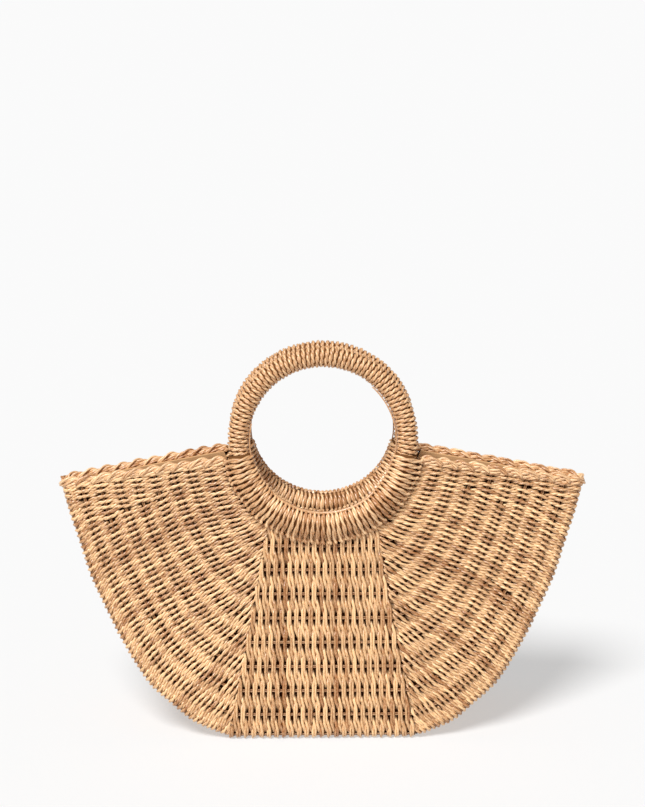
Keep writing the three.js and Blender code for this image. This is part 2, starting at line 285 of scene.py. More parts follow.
# Place and normal on the front panel's centre, by x at the base and the stake, below 0 under the base
def centre_surface(x, stake):
    x, stake = np.broadcast_arrays(x, stake)
    bend = BASE_EDGE_RADIUS * math.pi / 2
    top = MITRE_TOP - BASE_EDGE_RADIUS + bend
    numbers = np.arange(STAKES + 3)
    rising = np.interp(np.maximum(stake, 0), numbers, bend / 2 + (top - bend / 2) * numbers / STAKES)
    distance = rising + np.minimum(stake, 0) * BASE_STAKE_STEP
    curl = np.clip(distance / BASE_EDGE_RADIUS, 0, math.pi / 2)
    z = np.where(distance < bend, BASE_EDGE_RADIUS * (1 - np.cos(curl)), distance - bend + BASE_EDGE_RADIUS)
    across = x * (1 - CENTRE_TAPER * np.maximum(stake, 0) / STAKES)
    depth = panel_depth(across, z) + np.minimum(distance, 0)
    place = np.stack([across, -depth, z], -1)
    down = np.stack([np.zeros_like(z), np.zeros_like(z), -np.ones_like(z)], -1)
    front = panel_normal(across, np.maximum(z, BASE_EDGE_RADIUS))
    normal = down * np.cos(curl)[..., None] + front * np.sin(curl)[..., None]
    return place, unit(normal)


# A ply's radius, and how far its middle lies from the middle of its pair
class Ply:
    def __init__(self, radius, spread):
        self.radius = radius
        self.spread = spread


FAN_PLY = Ply(0.98, 0.62)
CENTRE_PLY = Ply(1.0, 0.9)
RING_PLY = Ply(1.05, 0.75)
STITCH_PLY = Ply(1.08, 0.88)
RIM_PLY = Ply(0.95, 0.8)
PLY_DRIFT = 0.12  # a ply lies off its place by up to this
PLY_TONE = 0.3  # and its tone differs from its pair's by up to this
SHADE_START = 0.3  # how deep the painted shade in the weave starts, and over what depth it grows
SHADE_DEPTH = 0.55
SHADE_OF_PLY = 0.5  # how much a ply's place in its pair counts for its depth
TEXTURE_SHIFT = 500  # each tube's texture starts at a place of its own


# Keeps what rests on the ground above it
def above_ground(path, radius):
    return np.column_stack([path[:, :2], np.maximum(path[:, 2], radius)])


# A random number, or several, from minus to plus a size
def jitter(size, count=None):
    return rng.uniform(-size, size, count)


# A smooth random wander of a number of values, with a knot at about every so many of them
def wander(count, every, size):
    knots = jitter(size, max(int(count / every), 1) + 4)
    fine = smooth_curve(np.column_stack([knots, knots]), 8)[:, 0]
    return np.interp(np.linspace(0, len(fine) - 1, count), np.arange(len(fine)), fine)


# Tubes that are joined into one mesh, each with a tone of its own, a painted shade and a UV map along it
class Tubes:
    def __init__(self, sides):
        self.sides = sides
        self.places, self.faces, self.caps, self.uvs, self.cap_uvs = [], [], [], [], []
        self.tones, self.shades = [], []
        self.count = 0

    def add(self, path, normal, radius, tone, shade=0.0, closed=False):
        path = np.asarray(path, float)
        rows = len(path)
        if closed:
            heading = unit(np.roll(path, -1, 0) - np.roll(path, 1, 0))
        else:
            heading = unit(np.gradient(path, axis=0))
        side = unit(np.cross(heading, normal))
        upward = np.cross(side, heading)
        turn = np.arange(self.sides) / self.sides * 2 * math.pi
        reach = np.broadcast_to(radius, rows)[:, None, None]
        around = side[:, None] * np.cos(turn)[None, :, None] + upward[:, None] * np.sin(turn)[None, :, None]
        self.places.append((path[:, None] + reach * around).reshape(-1, 3))
        lap = np.arange(rows if closed else rows - 1)
        here = self.count + lap[:, None] * self.sides + np.arange(self.sides)
        beside = self.count + lap[:, None] * self.sides + (np.arange(self.sides) + 1) % self.sides
        ahead = self.sides - (lap == rows - 1)[:, None] * rows * self.sides
        self.faces.append(np.stack([here, beside, beside + ahead, here + ahead], -1).reshape(-1, 4))
        lengths = lengths_along(path)
        lengths = np.append(lengths, 2 * lengths[-1] - lengths[-2]) + rng.uniform(0, TEXTURE_SHIFT)
        u0 = np.repeat(lengths[lap], self.sides)
        u1 = np.repeat(lengths[lap + 1], self.sides)
        v0 = np.tile(np.arange(self.sides) / self.sides, len(lap))
        v1 = v0 + 1 / self.sides
        self.uvs.append(np.stack([[u0, v0], [u0, v1], [u1, v1], [u1, v0]]).transpose(2, 0, 1))
        if not closed:
            first = self.count + np.arange(self.sides)
            self.caps += [first[::-1], first + (rows - 1) * self.sides]
            self.cap_uvs.append(np.full((2 * self.sides, 2), lengths[0]))
        self.tones.append(np.full(rows * self.sides, tone))
        self.shades.append(np.repeat(np.broadcast_to(shade, rows), self.sides))
        self.count += rows * self.sides

    # Two plies that turn round each other along a path; deep in the weave they get painted shade
    def add_pair(self, path, normal, turn, ply, height=None, swell=1.0):
        heading = unit(np.gradient(path, axis=0))
        side = unit(np.cross(heading, normal))
        upward = np.cross(side, heading)
        wideness = np.broadcast_to(swell, len(path))[:, None]
        tone = rng.uniform(0, 1)
        for half_turn in (0, math.pi):
            angle = turn + half_turn
            offset = side * np.cos(angle)[:, None] + upward * np.sin(angle)[:, None]
            cord = path + ply.spread * offset * wideness + jitter(PLY_DRIFT, 3)
            shade = 0.0
            # Painted shade: the deeper a ply lies under the weave's middle surface, the darker it is
            # painted
            if height is not None:
                depth = -height - SHADE_OF_PLY * ply.spread * np.sin(angle)
                shade = np.clip((depth - SHADE_START) / SHADE_DEPTH, 0, 1)
            radius = ply.radius * swell
            ply_tone = tone + jitter(PLY_TONE)
            self.add(above_ground(cord, radius), normal, radius, ply_tone, shade)

    def build(self, name, material, slot, node=None):
        places = np.vstack(self.places)
        faces = np.vstack(self.faces)
        caps = np.array(self.caps) if self.caps else np.zeros((0, self.sides), int)
        mesh = bpy.data.meshes.new(name)
        mesh.vertices.add(len(places))
        mesh.vertices.foreach_set("co", (places * MM).astype(np.float32).ravel())
        corners = np.concatenate([faces.ravel(), caps.ravel()])
        mesh.loops.add(len(corners))
        mesh.loops.foreach_set("vertex_index", corners.astype(np.int32))
        sizes = np.concatenate([np.full(len(faces), 4), np.full(len(caps), self.sides)])
        mesh.polygons.add(len(sizes))
        starts = np.concatenate([[0], np.cumsum(sizes)[:-1]])
        mesh.polygons.foreach_set("loop_start", starts.astype(np.int32))
        smooth = np.concatenate([np.ones(len(faces), bool), np.zeros(len(caps), bool)])
        mesh.polygons.foreach_set("use_smooth", smooth)
        uv = np.concatenate([np.concatenate(self.uvs).reshape(-1, 2), *self.cap_uvs])
        layer = mesh.uv_layers.new(name="along")
        layer.data.foreach_set("uv", uv.astype(np.float32).ravel())
        # Each point's random tone, and its painted shade
        for attribute, values in (("tone", self.tones), ("shade", self.shades)):
            layer = mesh.attributes.new(attribute, "FLOAT", "POINT")
            layer.data.foreach_set("value", np.concatenate(values).astype(np.float32))
        mesh.update(calc_edges=True)
        return place_object(name, mesh, material, node)


# An object of a mesh, on the one body, with its material slot and the node that it stands for
def place_object(name, mesh, material, node):
    mesh.validate()
    mesh.materials.append(material)
    made = bpy.data.objects.new(name, mesh)
    bpy.context.scene.collection.objects.link(made)
    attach(made, "root")
    if node:
        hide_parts(node)
    return made


# The front right is built, and these take it to the other places
def keep(vectors):
    return vectors


def mirror_x(vectors):
    return vectors * np.array([-1, 1, 1])


# Half a turn about the vertical takes the front to the back
def to_back(vectors):
    return vectors * np.array([-1, -1, 1])


def to_back_mirrored(vectors):
    return vectors * np.array([1, -1, 1])


# Pairs of weavers dropped between two stakes, by shares of the way down the fan, and how the rest even out
FIRST_DROP, LAST_DROP = 0.94, 0.1
DROP_JITTER = 0.06
DROP_AT = 0.6  # share of the way to the next stake
RIM_WEAVERS, MITRE_WEAVERS = 2, 4  # a pair is dropped no nearer to the fan's two edges
SETTLED_SHARE, EVEN_SHARE = 0.3, 0.7


# Distances from the rim of each weaver of a fan at each stake, as far as it goes, and where it ends
def fan_rows():
    share = (np.arange(EDGE_WEAVERS) + 0.5) / EDGE_WEAVERS
    share = share + EDGE_CROWDING * share * (1 - share)
    rows = [[distance] for distance in share * EDGE_LENGTH]
    ends = [float(STAKES)] * EDGE_WEAVERS
    going = list(range(EDGE_WEAVERS))
    for stake in range(STAKES):
        length = stake_length(stake)
        next_length = stake_length(stake + 1)
        for i in going:
            rows[i].append(rows[i][-1] * FAN_SQUEEZE)
        for i in list(going):
            over = rows[i][-1] - next_length
            if over > 0:
                short = length - rows[i][-2]
                ends[i] = stake + max(short, 0) / max(short + over, 1e-6)
                going.remove(i)
        drops = max((len(going) - round(next_length / CLOSEST_PITCH)) // 2, 0)
        for pick in np.linspace(FIRST_DROP, LAST_DROP, drops) + jitter(DROP_JITTER, drops):
            at = int(np.clip(pick * len(going), RIM_WEAVERS, len(going) - MITRE_WEAVERS))
            for i in (going[at], going[at + 1]):
                ends[i] = stake + DROP_AT
                going.remove(i)
        settled = np.array([rows[i][-1] for i in going])
        even = np.linspace(settled[0], settled[-1], len(going))
        for i, value in zip(going, SETTLED_SHARE * settled + EVEN_SHARE * even):
            rows[i][-1] = value
    return rows, ends


# How a weaver runs: its waves and their wander, its looseness, its twist, and its end
WAVE_POINT = 0.5  # 0 gives round waves, and more gives pointed ones
EDGE_FLATTENING = 0.3  # at the side edge the waves are lower by this share
EDGE_REACH = 0.7  # stakes over which that wears off
HEIGHT_WANDER = 0.12
FAN_WANDER, CENTRE_WANDER = 0.16, 0.18  # sideways
FAN_LOOSENESS, CENTRE_LOOSENESS, GUSSET_LOOSENESS = 0.1, 0.35, 0.2
FAN_TWIST, CENTRE_TWIST, GUSSET_TWIST = (2.7, 0.1), (1, 0.38), (2, 0.1)  # crossings for a stake, and ease
TWIST_KNOTS, TWIST_WANDER, TWIST_JITTER = 6, 0.5, 0.4
FAN_THINNING = 0.1  # a weaver is thinner by this share at the ring
DIVE_DEPTH, DIVE_LEAD, DIVE_REACH = 1.7, 0.15, 0.4
FAN_START = -0.5  # a fan's weavers meet the gusset's half a stake's step round the crease
DROPPED_TAIL, RING_TAIL, CENTRE_TAIL = 0.25, 0.1, 0.2  # past its end, in stakes
PAST_MITRE = 1.02
BASE_SINK = 0.4  # under the base, the weave lies this much higher above the ground
FAN_CURVE_STEPS = 6
MITRE_POINTS = 200


# Height of a weaver over the middle surface: over one stake and under the next
def weave_wave(stake, parity):
    wave = np.cos(math.pi * (stake + parity))
    return WEAVE_RISE * wave * np.abs(wave) ** WAVE_POINT


# The waves are lower at the side edge
def flatter_at_edge(stake):
    return 1 - EDGE_FLATTENING * np.exp(-((stake / EDGE_REACH) ** 2))


# A weaver is loose between two stakes and tight on them
def looseness(stake, share):
    return 1 + share * np.sin(math.pi * stake) ** 2


# Turn of a weaver's plies round each other, slower on the stakes than between them
def weave_twist(stake, twist):
    crossings, ease = twist
    turn = math.pi * crossings * stake - ease * np.sin(2 * math.pi * stake)
    return turn + wander(len(stake), TWIST_KNOTS, TWIST_WANDER) + jitter(TWIST_JITTER)


# A weaver dives behind its neighbours where it ends
def dive(stake, end):
    return DIVE_DEPTH * np.clip((stake - end + DIVE_LEAD) / DIVE_REACH, 0, 1) if end < STAKES else 0


# Weavers of a fan, from the side edge to the ring, the mitre or the place where they are dropped
def fan_weavers(tubes, rows, ends, place, steps):
    for i, (row, end) in enumerate(zip(rows, ends)):
        stop = end + (DROPPED_TAIL if end < STAKES else RING_TAIL)
        count = int(math.ceil((stop - FAN_START) * steps)) + 1
        stake = np.linspace(FAN_START, stop, count)
        fine = smooth_curve(np.column_stack([np.arange(len(row)), row]), FAN_CURVE_STEPS)
        distance = np.interp(stake, fine[:, 0], fine[:, 1]) + wander(count, steps / 2, FAN_WANDER)
        length = stake_length(np.maximum(stake, 0))
        spot, normal = fan_surface(np.clip(distance / length, 0, PAST_MITRE), stake)
        height = weave_wave(stake, i) * flatter_at_edge(stake) + wander(count, steps, HEIGHT_WANDER)
        height = height - dive(stake, end)
        path = spot + normal * (height - WEAVE_INSET)[:, None]
        swell = looseness(stake, FAN_LOOSENESS) * (1 - FAN_THINNING * stake / STAKES)
        tubes.add_pair(place(path), place(normal), weave_twist(stake, FAN_TWIST), FAN_PLY, height, swell)


# Weavers of a panel's centre, from under the base up to the ring or the mitre
def centre_weavers(tubes, place, steps):
    pitch = BASE_LENGTH / CENTRE_WEAVERS
    stakes = np.linspace(0, STAKES, MITRE_POINTS)
    mitre = fan_surface(1.0, stakes)[0][:, 0]
    for i in range(CENTRE_WEAVERS):
        x = (i + 0.5) * pitch - BASE_LENGTH / 2
        inside = np.abs(x) * (1 - CENTRE_TAPER * stakes / STAKES) < mitre
        end = STAKES if inside.all() else stakes[inside][-1]
        stop = end + CENTRE_TAIL
        count = int(math.ceil((stop + BASE_STAKES) * steps)) + 1
        stake = np.linspace(-BASE_STAKES, stop, count)
        spot, normal = centre_surface(x + wander(count, steps / 2, CENTRE_WANDER), stake)
        height = weave_wave(stake, i) + wander(count, steps, HEIGHT_WANDER) - dive(stake, end)
        path = spot + normal * (height - WEAVE_INSET - np.where(stake < -0.4, BASE_SINK, 0))[:, None]
        twist = weave_twist(stake, CENTRE_TWIST)
        swell = looseness(stake, CENTRE_LOOSENESS)
        tubes.add_pair(place(path), place(normal), twist, CENTRE_PLY, height, swell)


# Weavers across a gusset, from half a stake's step round one crease to the same on the other
def gusset_weavers(tubes, mirror, rows, steps):
    for i, row in enumerate(rows):
        share = row[0] / EDGE_LENGTH
        z = along_edge(np.array(row[0]))[0][1]
        middle = float(gusset_span(z)[1]) + 1
        count = int(math.ceil((middle + FAN_START) * steps)) + 1
        crossed = np.linspace(-FAN_START, middle, count)
        spot, normal = fan_surface(share, -crossed)
        spot = np.vstack([spot, to_back_mirrored(spot)[::-1][1:]])
        normal = np.vstack([normal, to_back_mirrored(normal)[::-1][1:]])
        along = np.concatenate([crossed, (2 * middle - crossed)[::-1][1:]])
        height = weave_wave(along, i) + wander(len(along), steps, HEIGHT_WANDER)
        path = spot + normal * (height - WEAVE_INSET)[:, None]
        twist = weave_twist(along, GUSSET_TWIST)
        swell = looseness(along, GUSSET_LOOSENESS)
        tubes.add_pair(mirror(path), mirror(normal), twist, FAN_PLY, height, swell)


STAKE_HALF_GAP = 0.62  # half the distance between a stake's two plies
STAKE_KNOTS, STAKE_SWAY = 3, 0.12
STAKE_TONES = (-0.4, 0.2)
# Painted shade on every stake, the same all along it
STAKE_SHADE = 0.3
FAN_STAKE_POINTS, CENTRE_STAKE_POINTS, BASE_STAKE_POINTS, GUSSET_STAKE_POINTS = 70, 38, 30, 90


# A stake is two plies side by side
def add_stake(tubes, path, normals):
    heading = unit(np.gradient(path, axis=0))
    side = unit(np.cross(heading, normals))
    for sign in (1, -1):
        sway = wander(len(path), STAKE_KNOTS, STAKE_SWAY)[:, None]
        ply = path + side * (sign * STAKE_HALF_GAP + sway)
        tubes.add(above_ground(ply, STAKE_PLY), normals, STAKE_PLY, rng.uniform(*STAKE_TONES), STAKE_SHADE)


# One stake of each number, down one fan, across the centre and up the other fan
def stake_lines(tubes, place):
    for k in range(STAKES + 1):
        share = np.linspace(0, 1, FAN_STAKE_POINTS)
        spot, normal = fan_surface(share, k)
        reach = spot[-1, 0] / (1 - CENTRE_TAPER * k / STAKES)
        x = np.linspace(reach, -reach, CENTRE_STAKE_POINTS + 2)[1:-1]
        middle, middle_normal = centre_surface(x, k)
        path = np.vstack([spot, middle, mirror_x(spot)[::-1]])
        normals = np.vstack([normal, middle_normal, mirror_x(normal)[::-1]])
        add_stake(tubes, place(path - normals * WEAVE_INSET), place(normals))
    for k in range(1, BASE_STAKES + 1):
        x = np.linspace(BASE_LENGTH / 2, -BASE_LENGTH / 2, BASE_STAKE_POINTS)
        spot, normals = centre_surface(x, -k)
        add_stake(tubes, place(spot - normals * (WEAVE_INSET + BASE_SINK)), place(normals))


# A gusset's stakes on both sides of its middle, and one down the middle
def gusset_stakes(tubes, mirror):
    share = np.linspace(0, 1, GUSSET_STAKE_POINTS)
    stakes = gusset_span(along_edge(share * EDGE_LENGTH)[0][:, 1])[1]
    for k in range(1, int(stakes.max()) + 1):
        there = share[stakes >= k]
        spot, normal = fan_surface(there, -k)
        for side in (keep, to_back_mirrored):
            add_stake(tubes, mirror(side(spot - normal * WEAVE_INSET)), mirror(side(normal)))
    spot, normal = fan_surface(share, -(stakes + 1))
    add_stake(tubes, mirror(spot - normal * WEAVE_INSET), mirror(normal))


# The ring's own frame: X along the bag, Y up the leaning ring, Z out of the bag
def ring_place(along, up, out):
    lean_cos, lean_sin = math.cos(RING_LEAN), math.sin(RING_LEAN)
    y = -RING_HALF_GAP + up * lean_sin - out * lean_cos
    z = RING_HEIGHT + up * lean_cos + out * lean_sin
    return np.stack([along, y, z], -1)


# A point round a ring: angle from straight down, and reach and turn of the tube's section, 0 outward
def ring_point(angle, reach, turn):
    radius = RING_RADIUS + reach * np.cos(turn)
    return ring_place(radius * np.sin(angle), -radius * np.cos(angle), reach * np.sin(turn))


# The ring's middle line and its outward direction at each angle
def ring_middle(angle):
    line = ring_point(angle, np.zeros(len(angle)), angle)
    return line, unit(line - ring_place(0.0, 0.0, 0.0))


WRAPS = 118  # as many as would go round the whole ring
WRAP_STEPS = 22
WRAP_TWISTS = 3.8  # turns of a wrap's two plies round each other in one wrap
WRAP_INSET = 1.7  # of the cord's middle line from the ring's outside
WRAPS_START = math.radians(74)  # from straight down; below this the binding covers the ring
WRAP_SHIFT, WRAP_LIFT, WRAP_TURN = 0.003, 0.16, 0.8  # wander along the ring, out of it and of the twist


# The cord wound round a ring, from where one end of the binding covers it over the top to the other
def ring_wrapping(tubes, place):
    count = int(WRAPS * WRAP_STEPS * (1 - WRAPS_START / math.pi))
    angle = np.linspace(WRAPS_START, 2 * math.pi - WRAPS_START, count)
    turn = angle * WRAPS
    angle = angle + wander(count, WRAP_STEPS / 2, WRAP_SHIFT)
    reach = RING_THICKNESS / 2 - WRAP_INSET + wander(count, WRAP_STEPS / 3, WRAP_LIFT)
    path = ring_point(angle, reach, turn)
    normal = unit(path - ring_point(angle, np.zeros(count), turn))
    twist = WRAP_TWISTS * turn + wander(count, WRAP_STEPS / 2, WRAP_TURN)
    tubes.add_pair(place(path), place(normal), twist, RING_PLY)


# The round core under a ring's wrapping, its dark colour painted shade between the wraps
CORE_INSET, CORE_POINTS, CORE_TONE = 2.1, 96, 0.2


def ring_core(tubes, place):
    line, outward = ring_middle(np.arange(CORE_POINTS) / CORE_POINTS * 2 * math.pi)
    tubes.add(place(line), place(outward), RING_THICKNESS / 2 - CORE_INSET, CORE_TONE, closed=True)


# How far out of the ring's plane the wall's middle surface lies, at an angle and radius of the ring
def wall_offset(angle, radius):
    offset = np.zeros_like(radius)
    for _ in range(4):
        spot = ring_place(radius * np.sin(angle), -radius * np.cos(angle), offset)
        wall = panel_depth(spot[..., 0], spot[..., 2]) - WALL / 2
        offset = offset + (wall + spot[..., 1]) / math.cos(RING_LEAN)
    return offset


STITCHES = 47
STITCH_SPAN = 0.985  # share of the binding that the stitches take up
BULB_INSET = 4  # from the flap's edge to the end of a stitch's middle line
SHORTEST_FLAP = 3.2
BULB_LENGTH = 1.3
END_LIFT, BULB_LIFT, FLAP_LIFT = 2.1, 3.1, 3.5  # of a stitch out of the wall's middle surface
FLAP_SHIFT = 0.4
SLEEVE_ARC = (34, 163, 7)  # degrees round the ring's section, and points
STITCH_INSET = 0.5  # of a stitch's middle line from the binding's outside
END_JITTER, SIDE_JITTER, SIDE_WANDER, TURN_JITTER = 0.7, 0.4, 0.2, 0.5
STITCH_TAPER = 0.06
BULB_SWELL, BULB_AT, BULB_REACH = 0.24, 0.09, 0.07
END_SHRINK, END_REACH = 0.5, 0.03
FIRST_TURN, STITCH_TURNS, TURN_POWER = 0.1, 2.6, 1.2  # half turns at a stitch's end and over its length
SLEEVE_INSET, SLEEVE_POINTS, SLEEVE_TONE = 1.6, 60, 0.3


# Half of a stitch's middle line in the ring's section: from the flap's edge to the ring's inner side
def stitch_section(angle, face):
    flap = (BINDING_FLAP - BULB_INSET) * math.cos(angle / BINDING_END * math.pi / 2) + BINDING_THICKNESS
    tip = RING_RADIUS + BINDING_OUTER + max(flap, SHORTEST_FLAP)
    far = wall_offset(np.array([angle]), np.array([tip]))[0]
    near = wall_offset(np.array([angle]), np.array([NOTCH_RADIUS]))[0]
    turn = np.radians(np.linspace(*SLEEVE_ARC))
    reach = BINDING_OUTER - STITCH_INSET
    sleeve = np.column_stack([RING_RADIUS + reach * np.cos(turn), face * reach * np.sin(turn)])
    flap_points = np.array([
        [tip, far + face * END_LIFT],
        [tip - BULB_LENGTH, far + face * BULB_LIFT],
        [(tip + sleeve[0, 0]) / 2 + FLAP_SHIFT, (far + near) / 2 + face * FLAP_LIFT],
    ])
    return smooth_curve(np.vstack([flap_points, sleeve]), 2)


# Twisted stitches over each face of a binding, thick and round at the flap's edge
def binding_stitches(tubes, place):
    for k in range(STITCHES):
        angle = BINDING_END * (2 * (k + 0.5) / STITCHES - 1) * STITCH_SPAN
        across = math.sin(angle)
        along = np.array([math.cos(angle), across * math.sin(RING_LEAN), across * math.cos(RING_LEAN)])
        for face in (1, -1):
            section = stitch_section(angle, face)
            ease = np.linspace(0, 1, len(section))
            radius = section[:, 0] + jitter(END_JITTER) * (1 - ease)
            spots = ring_place(radius * across, -radius * math.cos(angle), section[:, 1])
            sideways = jitter(SIDE_JITTER) * (1 - ease) + wander(len(ease), 4, SIDE_WANDER)
            spots = spots + along * sideways[:, None]
            normal = face * unit(np.cross(unit(np.gradient(spots, axis=0)), along))
            swell = 1.0 - STITCH_TAPER * ease + BULB_SWELL * np.exp(-(((ease - BULB_AT) / BULB_REACH) ** 2))
            swell = swell * (1 - END_SHRINK * np.exp(-((ease / END_REACH) ** 2)))
            twist = math.pi * (FIRST_TURN + STITCH_TURNS * ease**TURN_POWER) + jitter(TURN_JITTER)
            tubes.add_pair(place(spots), place(normal), twist, STITCH_PLY, swell=swell)


# The straw that a binding's stitches lie on, round the ring's lower half, dark with painted shade between
# the stitches
def binding_sleeve(tubes, place):
    line, outward = ring_middle(np.linspace(-BINDING_END, BINDING_END, SLEEVE_POINTS))
    tubes.add(place(line), place(outward), BINDING_OUTER - SLEEVE_INSET, SLEEVE_TONE)


# The thread: angles from straight down and round the section in degrees, and its lift off the ring
THREAD_ARC = (-104, 138)
THREAD_POINTS = 150
THREAD_TURN, THREAD_TURN_WANDER = 160, 0.03
THREAD_BOTTOM = {"front": 150, "back": 130}
THREAD_LIFT, BINDING_CLIMB = 0.6, 1.3
CLIMB_START, CLIMB = 0.08, 0.1  # radians in which it climbs on to the binding
THICK_WITHIN, THICKENING = math.radians(52), math.radians(14)
THREAD_RADIUS, THREAD_GROWTH, THREAD_TONE = 0.55, 0.8, 0.2


# A thin strand along the inside of a ring, thicker at the bottom
def ring_thread(tubes, place, turn_at_bottom):
    angle = np.radians(np.linspace(*THREAD_ARC, THREAD_POINTS))
    bound = np.clip((WRAPS_START + CLIMB_START - np.abs(angle)) / CLIMB, 0, 1)
    bottom = np.clip((THICK_WITHIN - np.abs(angle)) / THICKENING, 0, 1)
    reach = RING_THICKNESS / 2 + THREAD_LIFT + bound * BINDING_CLIMB
    turn = np.radians(THREAD_TURN + (turn_at_bottom - THREAD_TURN) * bottom)
    turn = turn + wander(THREAD_POINTS, 10, THREAD_TURN_WANDER)
    path = ring_point(angle, reach, turn)
    normal = unit(path - ring_point(angle, np.zeros(THREAD_POINTS), turn))
    tubes.add(place(path), place(normal), THREAD_RADIUS + THREAD_GROWTH * bottom, THREAD_TONE)


RIM_START = 78.5
RIM_POINTS, RIM_CORNER_POINTS = 40, 8
RIM_ARCH_PITCH = 13.2
ARCH_POINTS = 19
ARCH_START, ARCH_REACH = -0.25, 1.5  # along the rim, in pitches
ARCH_FOOT, ARCH_HEIGHT, ARCH_ROUNDNESS = -4.4, 5.2, 0.8
ARCH_INSIDE, ARCH_WIDTH = -2.2, 4.2  # across the rim
ARCH_TILT, ARCH_TWIST = 0.35, 7
ARCH_SHIFT, ARCH_LIFT, ARCH_TURN = 1, 0.4, 0.6  # random, along the rim, up and of the twist
# Cords under the arches: how far down and out from the rim's middle line, and their plies
RIM_CORDS = ((1.7, 0.0, Ply(1.15, 0.9)), (3.1, -1.5, Ply(1.0, 0.8)), (4.4, 0.3, Ply(1.0, 0.8)))
CORD_POINTS, CORD_TURN, CORD_KNOTS, CORD_WANDER = 170, 2.6, 4, 0.5


# The rim's middle line on the right, from the front ring round the corner to the back ring
def rim_line():
    level = CORNER_HEIGHT - RIM_BRAID_HEIGHT / 2
    half = half_width(level) - WALL / 2
    edge = crease_depth(level) - WALL / 2
    radius = crease_radius(edge)
    x = np.linspace(RIM_START, half - radius, RIM_POINTS)
    z = rim_height(x) - RIM_BRAID_HEIGHT / 2
    turn = np.linspace(0, math.pi / 2, RIM_CORNER_POINTS)[1:]
    corner_x = half - radius + radius * np.sin(turn)
    corner_z = rim_height(corner_x) - RIM_BRAID_HEIGHT / 2
    front = np.vstack([
        np.column_stack([x, WALL / 2 - panel_depth(x, z), z]),
        np.column_stack([corner_x, radius * (1 - np.cos(turn)) - edge, corner_z]),
    ])
    return np.vstack([front, to_back_mirrored(front)[::-1]])


# The rim's border: twisted arches that rise inside, pass over the edge and come down outside, on cords
def rim_arches(tubes, mirror):
    line = rim_line()
    lengths = lengths_along(line)
    arches = round(lengths[-1] / RIM_ARCH_PITCH)
    pitch = lengths[-1] / arches

    def along_rim(at):
        ahead = points_at(at + 2, lengths, line)
        behind = points_at(at - 2, lengths, line)
        heading = unit((ahead - behind) * np.array([1, 1, 0]))
        return points_at(at, lengths, line), np.cross(heading, upward)

    upward = np.array([0, 0, 1.0])
    t = np.linspace(0, 1, ARCH_POINTS)
    for k in range(arches):
        at = np.clip((k + ARCH_START + ARCH_REACH * t) * pitch + jitter(ARCH_SHIFT), 0, lengths[-1])
        spot, outside = along_rim(at)
        rise = ARCH_FOOT + ARCH_HEIGHT * np.sin(math.pi * t) ** ARCH_ROUNDNESS + jitter(ARCH_LIFT)
        across = ARCH_INSIDE + ARCH_WIDTH * t**2 * (3 - 2 * t)
        middle = spot + outside * across[:, None] + upward * rise[:, None]
        face = unit(outside + ARCH_TILT * upward)
        tubes.add_pair(mirror(middle), mirror(face), ARCH_TWIST * t + jitter(ARCH_TURN), RIM_PLY)
    at = np.linspace(0, lengths[-1], CORD_POINTS)
    spot, outside = along_rim(at)
    for down, out, ply in RIM_CORDS:
        middle = spot + outside * out - upward * down
        twist = at / CORD_TURN + wander(CORD_POINTS, CORD_KNOTS, CORD_WANDER)
        tubes.add_pair(mirror(middle), mirror(outside), twist, ply)


# The backing behind the weave, a dark sheet of painted shade, and the lining: inset from the bag's outside,
# and the dip under a ring
BACKING_INSET, BACKING_THICKNESS, BACKING_NOTCH, BACKING_ROWS = 3.2, 0.5, 79, 30
LINING_INSET, LINING_THICKNESS, LINING_NOTCH, LINING_ROWS = 4.2, 0.9, 82, 36
LINING_DROP = 6.2  # its edge below the top of the rim's border
LINING_HEM = 6
HEM_FOLD = 0.8  # the hem stands off the lining by this
STITCH_OFF_HEM = 0.1
PANEL_COLUMNS, SIDE_COLUMNS = 61, 12
CORNER_TRIM = 0.6  # share of the inset by which the panels end before the creases
CORNER_ROUNDNESS = 0.45
ROW_CROWDING = 1.6  # rows lie closer near the top
SETTLING = 30
HEM_STITCH_PITCH, HEM_STITCH_LENGTH, HEM_STITCH_RADIUS, HEM_STITCH_TONE = 3.3, 2.4, 0.28, 0.5
HEM_STITCH_RISE = np.array([-0.25, 0.15, 0.15, -0.25])


